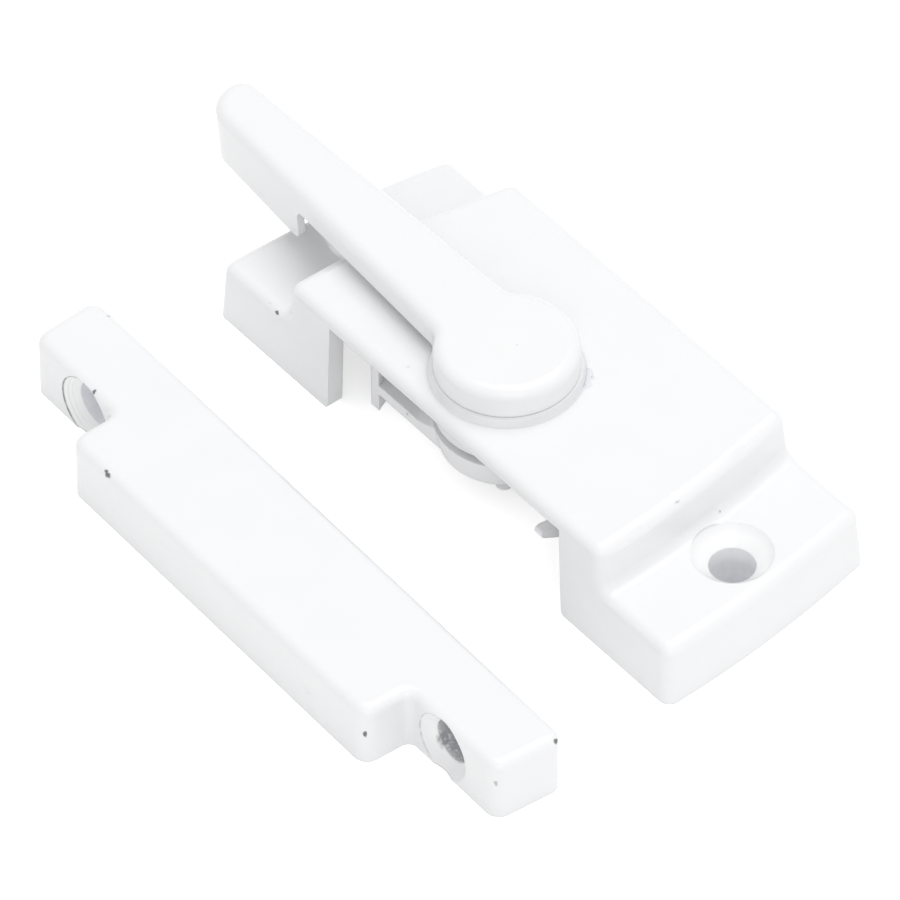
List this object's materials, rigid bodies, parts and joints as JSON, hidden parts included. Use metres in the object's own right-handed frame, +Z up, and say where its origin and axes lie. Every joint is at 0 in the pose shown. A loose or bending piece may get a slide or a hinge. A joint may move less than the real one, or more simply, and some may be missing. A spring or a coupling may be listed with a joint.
{
  "type": "sash lock",
  "caption": "White cam sash lock with its keeper: cast housing, swinging lever, hooked half-moon cam and a low keeper block.",
  "frame": {"origin": "midway between the lock's two screw holes, on its mounting plane", "axes": "+X along the lock from the lever's tip to the bare end, -Y the way the cam comes out towards the keeper, +Z up from the mounting plane"},
  "size_m": [0.0771, 0.0513, 0.0156],
  "materials": {
    "housing_paint": "gloss",
    "lever_paint": "gloss",
    "cam_paint": "satin",
    "washer_steel": "brushed",
    "spring_steel": "dark oiled",
    "keeper_paint": "gloss"
  },
  "bodies": {
    "lock_body": {"housing": "housing_paint", "keeper": "keeper_paint"},
    "lever_and_cam": {"lever": "lever_paint", "cam": "cam_paint", "retaining_washer": "washer_steel", "spring_washer": "spring_steel"}
  },
  "joints": [
    {"name": "lever_turn", "type": "hinge", "parent": "lock_body", "child": "lever_and_cam", "pos_m": [-0.0008, -0.00415, 0.009], "axis": [0, 0, -1], "range_deg": [0, 180]}
  ]
}
